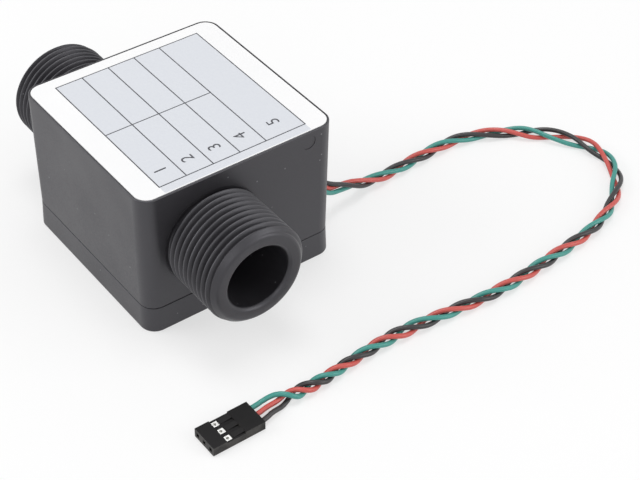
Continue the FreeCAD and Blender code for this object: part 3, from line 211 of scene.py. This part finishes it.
def finish(name, tones, gloss, mottle, grain, depth, stretch=(1, 1, 1), specks=None, scuffs_and_painted_sheen=None,
           **constants):
    """A surface whose colour drifts between two tones over the mottle's size, and whose grain lifts it by a
    depth and moves its roughness between two values. Sizes are in millimetres. Stretch draws the grain out
    along an axis, and specks are sparse dots of dust. The scuffs-and-sheen tone pales what a mesh marks, in
    patches: worn thread crests with a painted highlight, and plug walls with a painted reflection."""
    material = bpy.data.materials.new(name)
    material.use_nodes = True
    tree = material.node_tree
    shader = tree.nodes["Principled BSDF"]
    for socket, value in constants.items():
        shader.inputs[socket.replace("_", " ")].default_value = value
    place = add(tree, "TexCoord").outputs["Object"]
    drift = add(tree, "TexNoise", {"Vector": place, "Scale": 1 / (mottle * MM), "Detail": MOTTLE_DETAIL})
    blend = add(tree, "Mix", {0: drift.outputs["Fac"], 6: linear(tones[0]), 7: linear(tones[1])},
                data_type="RGBA")
    drawn = add(tree, "VectorMath", {0: place, 1: [share / (grain * MM) for share in stretch]},
                operation="MULTIPLY")
    fine = add(tree, "TexNoise", {"Vector": drawn.outputs["Vector"], "Scale": 1.0, "Detail": GRAIN_DETAIL})
    cloudy = add(tree, "Math", {0: fine.outputs["Fac"], 1: drift.outputs["Fac"]}, operation="ADD")
    rough = add(tree, "MapRange", {"Value": cloudy.outputs[0],
                                   "From Min": NOISE_SUM[0], "From Max": NOISE_SUM[1],
                                   "To Min": gloss[0], "To Max": gloss[1]})
    relief = add(tree, "Bump", {"Height": fine.outputs["Fac"], "Distance": depth * MM, "Strength": 1.0})
    if specks:
        cells = add(tree, "TexVoronoi", {"Vector": place, "Scale": 1 / (SPECK_SPACING * MM)})
        rim = SPECK_RADIUS / SPECK_SPACING
        dot = add(tree, "MapRange", {"Value": cells.outputs["Distance"],
                                     "From Min": rim, "From Max": rim / 2})
        pick = add(tree, "SeparateColor", {"Color": cells.outputs["Color"]})
        rare = add(tree, "Math", {0: pick.outputs["Red"], 1: SPECK_SHARE}, operation="LESS_THAN")
        shown = add(tree, "Math", {0: dot.outputs["Result"], 1: rare.outputs[0]}, operation="MULTIPLY")
        blend = add(tree, "Mix", {0: shown.outputs[0], 6: blend.outputs[2], 7: linear(specks)},
                    data_type="RGBA")
    # Pale tone on what a mesh marks: worn thread crests with a painted highlight, and plug walls with a
    # painted reflection
    if scuffs_and_painted_sheen:
        wear_and_painted_sheen = add(tree, "Attribute", attribute_name="wear_and_painted_sheen").outputs["Fac"]
        patch = add(tree, "MapRange", {"Value": drift.outputs["Fac"],
                                       "From Min": SCUFF_AND_SHEEN_PATCH[0], "From Max": SCUFF_AND_SHEEN_PATCH[1]})
        shown = add(tree, "Math", {0: wear_and_painted_sheen, 1: patch.outputs["Result"]}, operation="MULTIPLY")
        blend = add(tree, "Mix", {0: shown.outputs[0], 6: blend.outputs[2], 7: linear(scuffs_and_painted_sheen)},
                    data_type="RGBA")
    tree.links.new(blend.outputs[2], shader.inputs["Base Color"])
    tree.links.new(rough.outputs["Result"], shader.inputs["Roughness"])
    tree.links.new(relief.outputs["Normal"], shader.inputs["Normal"])
    return material


# The black plastics mirror their surroundings a little bluer than they are
COOL_GLOSS = linear("#F8F7FF")
# One finish for each material slot of the record
FINISHES = {
    # PC/ABS moulded in a spark-eroded tool: satin black that mirrors pale surroundings softly, some dust
    "case_plastic": finish("pc_abs_spark_textured", ("#28272A", "#2F2E31"), (0.36, 0.46), 14, 0.4, 0.003,
                           specks="#77777A", IOR=1.62, Specular_Tint=COOL_GLOSS),
    # Glass-filled nylon, moulded and cut: a little darker and closer-grained than the case
    # Its thread crests pale in patches: wear, and a painted highlight along each crest
    "tube_plastic": finish("glass_filled_nylon", ("#232225", "#2A292C"), (0.32, 0.44), 9, 0.35, 0.003,
                           specks="#707073", scuffs_and_painted_sheen="#5C5C60", IOR=1.57, Specular_Tint=COOL_GLOSS),
    # Polyester film with a matt laminate: clean white, barely mottled
    "label_film": finish("polyester_film_matt", ("#F1F1F2", "#F6F6F6"), (0.38, 0.46), 11, 0.5, 0.001,
                         IOR=1.5),
    # Moulded EPDM rubber: dull and even
    "seal_rubber": finish("epdm_rubber", ("#1B1B1C", "#222223"), (0.6, 0.72), 6, 0.3, 0.003, IOR=1.5),
    # Zinc-plated steel: bright grey with a fine turned grain
    "fastener_steel": finish("zinc_plated_steel", ("#B9BABD", "#C9CACC"), (0.28, 0.4), 3, 0.25, 0.002,
                             Metallic=1.0),
    # Rolled spring strip: drawn grain along the strip
    "spring_steel": finish("rolled_spring_strip", ("#8F9092", "#A0A1A3"), (0.25, 0.38), 5, 0.3, 0.002,
                           (1, 1, 0.2), Metallic=1.0),
    # Turned stainless steel: smooth and bright
    "electrode_steel": finish("turned_stainless", ("#C6C4BF", "#D2D0CB"), (0.16, 0.26), 2, 0.2, 0.001,
                              Metallic=1.0),
    # Bent soft-iron strip: grey, with a dull rolled skin
    "magnet_steel": finish("soft_iron_strip", ("#9A9A99", "#ABABAA"), (0.34, 0.5), 6, 0.3, 0.003,
                           (0.2, 1, 1), Metallic=1.0),
    # Natural nylon: ivory and slightly cloudy
    "bobbin_plastic": finish("natural_nylon", ("#DEDACB", "#E9E6DA"), (0.36, 0.48), 6, 0.4, 0.002,
                             IOR=1.53),
    # Enamelled copper wire wound in layers: fine turns side by side
    "copper": finish("enamelled_copper", ("#B4632F", "#C8763C"), (0.2, 0.34), 4, 0.3, 0.03,
                     (0.05, 1, 0.05), Metallic=1.0),
    # Brass strip with matt tin: pale and soft, with no sharp mirror in it
    "tinned_metal": finish("matt_tinned_brass", ("#F6F6F3", "#FBFBF9"), (0.4, 0.5), 1.2, 0.15, 0.001,
                           Metallic=1.0),
    # Solder mask over glass cloth: green, glossy, with the weave just showing
    "board_laminate": finish("solder_mask_laminate", ("#0E5A33", "#12683C"), (0.2, 0.32), 8, 0.5, 0.004,
                             IOR=1.55),
    # Moulded epoxy: grey-black and matt
    "chip_epoxy": finish("moulded_epoxy", ("#232324", "#2A2A2B"), (0.5, 0.62), 2, 0.2, 0.003, IOR=1.55),
    # Drawn aluminium can: pale, with lengthwise drawing lines
    "can_aluminium": finish("drawn_aluminium", ("#C9CACD", "#D8D9DB"), (0.24, 0.36), 3, 0.2, 0.002,
                            (1, 1, 0.1), Metallic=1.0),
    # Extruded PVC of the four wire colours: smooth, faintly wavy along the run
    "inner_wire_insulation": finish("grey_pvc", ("#B9B9B8", "#C4C4C3"), (0.32, 0.42), 5, 0.8, 0.004,
                                    IOR=1.53),
    "red_insulation": finish("red_pvc", ("#C24D47", "#CE5951"), (0.28, 0.4), 7, 0.8, 0.006, IOR=1.53),
    "green_insulation": finish("green_pvc", ("#378D83", "#41978D"), (0.28, 0.4), 7, 0.8, 0.006, IOR=1.53),
    "black_insulation": finish("black_pvc", ("#252224", "#2D2A2C"), (0.28, 0.4), 7, 0.8, 0.006, IOR=1.53),
    # Moulded PBT: near black and satin, with walls painted paler in patches than the top: a painted
    # reflection of the bright floor
    "plug_plastic": finish("moulded_pbt", ("#0D0C0D", "#121112"), (0.42, 0.54), 4, 0.25, 0.002,
                           scuffs_and_painted_sheen="#403E3C", IOR=1.55, Specular_IOR_Level=0.22),
}
# Printing on the label: dark grey ink of the rules, and a pale halftone tint of the cells
RULE_INK = finish("label_ink_grey", ("#3A3B41", "#46474D"), (0.45, 0.55), 2, 0.2, 0.0005, IOR=1.5)
CELL_TINT = finish("label_tint_pale", ("#D3D6DD", "#DADDE2"), (0.42, 0.5), 0.7, 0.3, 0.0005, IOR=1.5)


def dress(piece, material):
    """A new piece rides on the one body, and takes its finish from a slot of the record."""
    piece.data.materials.clear()
    piece.data.materials.append(material)
    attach(piece, "root")
    return piece


def smooth_step(share):
    """Eases a share from 0 to 1."""
    share = min(1.0, max(0.0, share))
    return share * share * (3 - 2 * share)


def spigot_radius(out, turned, side, crest, wall, end):
    """Radius of a spigot, at a distance out from the case's middle and an angle round the pipe."""
    turns = side * out / THREAD_PITCH - THREAD_PHASE - turned / math.tau
    past = 2 * abs(turns - round(turns))
    sunk = past - THREAD_ROUNDING / 2
    if past < THREAD_ROUNDING:
        sunk = past ** 2 / (2 * THREAD_ROUNDING)
    elif past > 1 - THREAD_ROUNDING:
        sunk = 1 - THREAD_ROUNDING - (1 - past) ** 2 / (2 * THREAD_ROUNDING)
    neck = NECK_RELIEF * (1 - smooth_step((out - wall) / NECK_WIDTH))
    reach = crest - max(neck, THREAD_DEPTH * sunk / (1 - THREAD_ROUNDING))
    slope = crest - max(0, out - end + SPIGOT_CHAMFER)
    past_round = out - end + END_ROUNDING
    if past_round > END_ROUNDING * math.sqrt(0.5):
        foot = crest - SPIGOT_CHAMFER - END_ROUNDING * math.tan(math.pi / 8)
        slope = foot + math.sqrt(max(0, END_ROUNDING ** 2 - past_round ** 2))
    return min(reach, slope)


def cut_spigot(work, marks, middle, crest, wall, end, side):
    """Swaps one plain spigot of the tube for a threaded one with a rounded end and mouth."""
    def reach(vertex):
        return math.hypot(vertex.co.y - middle.y, vertex.co.z - middle.z) / MM

    def spot(out, radius, turned):
        across, upward = radius * MM * math.cos(turned), radius * MM * math.sin(turned)
        return (side * out * MM, middle.y + across, middle.z + upward)

    rim = [vertex for vertex in work.verts if vertex.co.x * side > (end - SAME_LEVEL) * MM]
    bore = min(reach(vertex) for vertex in rim) - MOUTH_CHAMFER
    outside = [face for face in work.faces
               if all(vertex.co.x * side > (wall - COLLAR_DEPTH) * MM for vertex in face.verts)
               and all(reach(vertex) > bore - BORE_MARGIN for vertex in face.verts)
               and not all(reach(vertex) < bore + BORE_MARGIN for vertex in face.verts)]
    bmesh.ops.delete(work, geom=outside, context="FACES")
    open_edges = [edge for edge in work.edges if edge.is_boundary]

    rows = range(math.floor(wall / THREAD_PITCH - SPARE_TURNS) * THREAD_STEPS,
                 math.ceil(end / THREAD_PITCH + SPARE_TURNS) * THREAD_STEPS)
    turns = [math.tau * column / THREAD_COLUMNS for column in range(THREAD_COLUMNS)]
    root, tip = ([work.verts.new(spot(out, spigot_radius(out, turned, side, crest, wall, end), turned))
                  for turned in turns] for out in (wall, end))
    columns = []
    for turned, first, last in zip(turns, root, tip):
        column = []
        for row in rows:
            out = THREAD_PITCH * (row / THREAD_STEPS + side * (THREAD_PHASE + turned / math.tau))
            if out <= wall:
                column.append(first)
            elif out >= end:
                column.append(last)
            else:
                radius = spigot_radius(out, turned, side, crest, wall, end)
                column.append(work.verts.new(spot(out, radius, turned)))
                # Vertices near the crest are marked for the pale tone: wear, and a painted highlight along
                # the crest
                column[-1][marks] = max(0, 1 - (crest - radius) / CREST_WEAR_AND_SHEEN_DEPTH)
        columns.append(column)
    padded = [columns[0][0]] * THREAD_STEPS
    behind = columns[0][THREAD_STEPS:] + [columns[0][-1]] * THREAD_STEPS
    columns.append(behind if side > 0 else padded + columns[0][:-THREAD_STEPS])
    threads = []
    for column, beside in zip(columns, columns[1:]):
        for near in range(len(rows) - 1):
            corners = (column[near], beside[near], beside[near + 1], column[near + 1])
            corners = list(dict.fromkeys(corners))
            if len(corners) > 2:
                threads.append(work.faces.new(corners))

    # The last ring of the mouth stops half a step short of the bore, where the bridge takes over
    mouth = []
    for step in range(MOUTH_STEPS + 1):
        bend = math.pi / 2 * step / (MOUTH_STEPS + 0.5)
        mouth.append((end - MOUTH_CHAMFER * (1 - math.cos(bend) ** (1 / MOUTH_FORM)),
                      bore + MOUTH_CHAMFER * (1 - math.sin(bend) ** (1 / MOUTH_FORM))))
    shoulder = [(wall - drop, crest + SHOULDER_STEP) for drop in (0, SHOULDER_LENGTH)]
    for ring, profile in ((tip, mouth), (root, shoulder)):
        for out, radius in profile:
            last, ring = ring, [work.verts.new(spot(out, radius, turned)) for turned in turns]
            for place in range(THREAD_COLUMNS):
                work.faces.new((last[place - 1], last[place], ring[place], ring[place - 1]))
        own = [work.edges.get((ring[place - 1], ring[place])) for place in range(THREAD_COLUMNS)]
        depth = sum(vertex.co.x for vertex in ring) / len(ring)
        beside = min(open_edges, key=lambda edge: abs(edge.verts[0].co.x - depth)
                     + REACH_SHARE * abs(reach(edge.verts[0]) - reach(ring[0])) * MM)
        level = beside.verts[0].co.x
        near_by = [edge for edge in open_edges
                   if all(abs(vertex.co.x - level) < SAME_LEVEL * MM for vertex in edge.verts)]
        bmesh.ops.bridge_loops(work, edges=own + near_by)
    return threads


def make_threaded_tube():
    """The flow tube of the frame with real threads on both spigots."""
    low, high = (Vector(corner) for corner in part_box("flow_tube"))
    middle = (low + high) / 2
    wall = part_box("upper_housing")[1][0] / MM
    work = bmesh.new()
    work.from_mesh(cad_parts["flow_tube"].data)
    bmesh.ops.remove_doubles(work, verts=work.verts, dist=SAME_CORNER * MM)
    crest = max(math.hypot(vertex.co.y - middle.y, vertex.co.z - middle.z) for vertex in work.verts) / MM
    marks = work.verts.layers.float.new("wear_and_painted_sheen")
    threads = set()
    for side in (1, -1):
        threads.update(cut_spigot(work, marks, middle, crest, wall, high.x / MM, side))
    loose = [vertex for vertex in work.verts if not vertex.link_faces]
    bmesh.ops.delete(work, geom=loose, context="VERTS")
    bmesh.ops.recalc_face_normals(work, faces=work.faces)
    for face in work.faces:
        face.smooth = True
    for edge in work.edges:
        turn = edge.calc_face_angle(0)
        edge.smooth = turn < math.radians(SHARP_EDGE) or threads.issuperset(edge.link_faces)
    tube = make_piece(work, "threaded_flow_tube")
    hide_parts("flow_tube")
    dress(tube, FINISHES["tube_plastic"])


def read_line(points):
    """Points along the smooth line that a row of control points draws, in metres."""
    curve = bpy.data.curves.new("lead_middle", "CURVE")
    curve.dimensions = "3D"
    curve.resolution_u = LINE_STEPS
    spline = curve.splines.new("NURBS")
    spline.points.add(len(points) - 1)
    for point, place in zip(spline.points, points):
        point.co = (*(Vector(place) * MM), 1)
    spline.order_u = 3
    spline.use_endpoint_u = True
    carrier = bpy.data.objects.new("lead_middle", curve)
    mesh = bpy.data.meshes.new_from_object(carrier)
    line = [vertex.co.copy() for vertex in mesh.vertices]
    bpy.data.objects.remove(carrier)
    bpy.data.curves.remove(curve)
    bpy.data.meshes.remove(mesh)
    return line


def read_table(table, distance):
    """Value of a table at a distance along the lead, eased across its corners."""
    total = 0
    for shift in EASE:
        here = min(max(distance + shift, table[0][0]), table[-1][0])
        for (start, first), (end, last) in zip(table, table[1:]):
            if start <= here <= end:
                total += first + (last - first) * (here - start) / (end - start)
                break
    return total / len(EASE)


def make_lead():
    """Three wires that leave the case side by side, lie twisted, and part again for the plug."""
    line = read_line(LEAD_ROUTE)
    travelled = [0]
    for here, there in zip(line, line[1:]):
        travelled.append(travelled[-1] + (there - here).length / MM)
    for wire, place, share in (("green", -1, -1 / 3), ("red", 0, 0), ("black", 1, 1 / 3)):
        strand = []
        for index, (middle, distance) in enumerate(zip(line, travelled)):
            ahead = line[min(index + 1, len(line) - 1)] - line[max(index - 1, 0)]
            across = UP.cross(ahead).normalized()
            upward = ahead.cross(across).normalized()
            flat = read_table(SIDE_BY_SIDE, distance)
            turns = math.tau * read_table(TWIST_TURNS, distance)
            turned = turns + math.tau * share
            row = place * read_table(WIRE_SPACING, distance)
            aside = read_table(TWIST_RADIUS, distance) * math.cos(turned)
            aside += (row * math.cos(turns + math.pi / 2) - aside) * flat
            lift = TWIST_HEIGHT * math.sin(turned)
            lift += (row * math.sin(turns + math.pi / 2) - lift) * flat
            point = middle + (across * aside + upward * lift) * MM
            point.z = max(point.z, WIRE_RADIUS * MM)
            strand.append(point)
        curve = bpy.data.curves.new(wire + "_strand", "CURVE")
        curve.dimensions = "3D"
        curve.bevel_depth = WIRE_RADIUS * MM
        curve.bevel_resolution = WIRE_ROUNDNESS
        curve.use_fill_caps = True
        spline = curve.splines.new("POLY")
        spline.points.add(len(strand) - 1)
        for point, place_on in zip(spline.points, strand):
            point.co = (*place_on, 1)
        piece = link(bpy.data.objects.new(wire + "_strand", curve))
        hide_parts(wire + "_wire")
        dress(piece, FINISHES[wire + "_insulation"])


def lay_plates(name, plates, top, thickness, material):
    """Thin printed plates on the label: each is a rectangle between two corners, in millimetres."""
    work = bmesh.new()
    for x1, y1, x2, y2 in plates:
        middle = Vector(((x1 + x2) / 2 * MM, (y1 + y2) / 2 * MM, top))
        size = Matrix.Diagonal(((x2 - x1) * MM, (y2 - y1) * MM, 2 * thickness * MM, 1))
        bmesh.ops.create_cube(work, size=1, matrix=Matrix.Translation(middle) @ size)
    dress(make_piece(work, name), material)


def print_label():
    """Pale cells, a ruled table, and plain row numbers, read from the side that the lead leaves."""
    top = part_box("rating_label")[1][2]
    left, right = TABLE_ENDS
    half = RULE_WIDTH / 2
    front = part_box("rating_label")[1][0] / MM - TINT_MARGIN
    cells = [(left, TABLE_ROWS[0], front, TABLE_ROWS[-1])]
    lay_plates("label_cells", cells, top, TINT_THICKNESS, CELL_TINT)
    rules = [(left - half, row - half, right + half, row + half) for row in TABLE_ROWS]
    for start, end in zip(TABLE_ROWS, TABLE_ROWS[1:]):
        uprights = TABLE_ENDS if end == TABLE_ROWS[-1] else (*TABLE_ENDS, TABLE_DIVIDER)
        rules += [(upright - half, start + half, upright + half, end - half) for upright in uprights]
    lay_plates("label_rules", rules, top, INK_THICKNESS, RULE_INK)
    for number, (start, end) in enumerate(zip(TABLE_ROWS, TABLE_ROWS[1:]), 1):
        figure = bpy.data.curves.new(f"label_number_{number}", "FONT")
        figure.body = str(number)
        figure.size = NUMBER_HEIGHT / FIGURE_SHARE * MM
        figure.extrude = INK_THICKNESS * MM
        figure.align_x = "LEFT"
        figure.align_y = "CENTER"
        piece = link(bpy.data.objects.new(figure.name, figure))
        piece.location = ((right - NUMBER_MARGIN) * MM, (start + end) / 2 * MM, top)
        piece.rotation_euler = (0, 0, math.pi)
        dress(piece, RULE_INK)


def make_plug_shell():
    """The plug's housing with a deeper band across its top and crisper upper edges."""
    low, high = (Vector(corner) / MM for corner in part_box("plug_housing"))
    before, after = PLUG_CHAMFERS
    work = bmesh.new()
    work.from_mesh(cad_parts["plug_housing"].data)
    bmesh.ops.remove_doubles(work, verts=work.verts, dist=SAME_CORNER * MM)
    for vertex in work.verts:
        across, height = vertex.co.x / MM, vertex.co.z / MM
        for packed, shown in PLUG_LEVELS:
            if abs(height - low.z - packed) < SAME_LEVEL:
                vertex.co.z = (low.z + shown) * MM
        if height > high.z - SAME_LEVEL:
            for edge, inward in ((low.x, 1), (high.x, -1)):
                if abs(across - edge - inward * before) < SAME_LEVEL:
                    vertex.co.x = (edge + inward * after) * MM
    bmesh.ops.recalc_face_normals(work, faces=work.faces)
    # Walls are marked for the paler tone: a painted reflection of the bright floor
    marks = work.faces.layers.float.new("wear_and_painted_sheen")
    for face in work.faces:
        face.smooth = False
        face[marks] = float(abs(face.normal.z) < WALL_LEAN)
    shell = make_piece(work, "plug_shell")
    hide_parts("plug_housing")
    dress(shell, FINISHES["plug_plastic"])


def make_latches():
    """Three sprung tongues that hold the contacts: ramps in the plug's band, highest at the rear."""
    low, high = (Vector(corner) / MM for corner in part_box("plug_housing"))
    floor = high.z - LATCH_FLOOR
    work = bmesh.new()
    for place in (-1, 0, 1):
        middle = (low.x + high.x) / 2 + place * LATCH_PITCH
        corners = []
        for along, height in LATCH_ENDS:
            for side, level in ((-1, -LATCH_SINK), (1, -LATCH_SINK), (1, height), (-1, height)):
                spot = Vector((middle + side * LATCH_WIDTH / 2, low.y + along, floor + level))
                corners.append(work.verts.new(spot * MM))
        for face in ((3, 2, 1, 0), (4, 5, 6, 7), (0, 1, 5, 4), (1, 2, 6, 5), (2, 3, 7, 6), (3, 0, 4, 7)):
            work.faces.new([corners[corner] for corner in face])
    bmesh.ops.bevel(work, geom=work.edges[:], offset=LATCH_BEVEL * MM, segments=LATCH_BEVEL_STEPS,
                    affect="EDGES", profile=0.5)
    bmesh.ops.recalc_face_normals(work, faces=work.faces)
    dress(make_piece(work, "plug_latches"), FINISHES["plug_plastic"])


def dress_frame():
    """Gives every piece of the frame its finish."""
    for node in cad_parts.values():
        for slot in node.material_slots:
            slot.material = FINISHES[slot.material.name]


# Studio, in metres and watts: a white paper floor just below the object, an even white surround, and four
# soft boxes that face the aim. The glow is the share of pure white that the camera and reflections see in
# the floor, and the surround's light is what falls on the object.
FLOOR_SIZE = 6
FLOOR_DROP = 0.00002
FLOOR_GLOW = 0.6
PAPER_WHITE = "#F8F8F8"
PAPER_ROUGHNESS = 0.9
SURROUND_LIGHT = 0.5
AIM = Vector((0, 0, 0.02))
SOFT_BOXES = (
    ("left_box", (-0.45, -0.75, 0.5), 0.6, 3.4),
    ("right_box", (0.6, 0.5, 0.35), 0.5, 1.7),
    ("top_box", (-0.1, 0.05, 0.95), 0.4, 2.8),
    ("front_box", (0.85, -0.5, 0.55), 0.5, 0.9),
)


def seen_directly(tree):
    """1 for rays of the camera and of reflections, and 0 for the light that falls on the object."""
    path = add(tree, "LightPath").outputs
    seen = add(tree, "Math", {0: path["Is Camera Ray"], 1: path["Is Glossy Ray"]}, operation="ADD")
    seen = add(tree, "Math", {0: seen.outputs[0], 1: path["Is Transmission Ray"]}, operation="ADD",
               use_clamp=True)
    return seen.outputs[0]


def build_studio():
    """Floor, surround and lamps. What the camera and reflections see of the surround is white."""
    material = bpy.data.materials.new("white_sweep")
    material.use_nodes = True
    tree = material.node_tree
    paper = tree.nodes["Principled BSDF"]
    paper.inputs["Base Color"].default_value = linear(PAPER_WHITE)
    paper.inputs["Roughness"].default_value = PAPER_ROUGHNESS
    glow = add(tree, "Emission", {"Color": linear("#FFFFFF"), "Strength": 1.0})
    share = add(tree, "Math", {0: seen_directly(tree), 1: FLOOR_GLOW}, operation="MULTIPLY")
    both = add(tree, "MixShader", {0: share.outputs[0], 1: paper.outputs[0], 2: glow.outputs[0]})
    tree.links.new(both.outputs[0], tree.nodes["Material Output"].inputs["Surface"])
    work = bmesh.new()
    bmesh.ops.create_grid(work, x_segments=1, y_segments=1, size=FLOOR_SIZE / 2)
    floor = make_piece(work, "floor")
    floor.data.materials.append(material)
    floor.location.z = -FLOOR_DROP

    world = bpy.data.worlds.new("white_surround")
    bpy.context.scene.world = world
    world.use_nodes = True
    tree = world.node_tree
    level = add(tree, "MapRange", {"Value": seen_directly(tree), "To Min": SURROUND_LIGHT, "To Max": 1.0})
    tree.nodes["Background"].inputs["Color"].default_value = linear("#FFFFFF")
    tree.links.new(level.outputs["Result"], tree.nodes["Background"].inputs["Strength"])

    for name, place, size, power in SOFT_BOXES:
        lamp = bpy.data.lights.new(name, "AREA")
        lamp.size = size
        lamp.energy = power
        box = link(bpy.data.objects.new(name, lamp))
        box.location = place
        box.rotation_euler = (Vector(place) - AIM).to_track_quat("Z", "Y").to_euler()


place_camera()
make_plug_shell()
make_latches()
make_lead()
make_threaded_tube()
print_label()
dress_frame()
build_studio()
bpy.context.scene.view_settings.view_transform = "Standard"
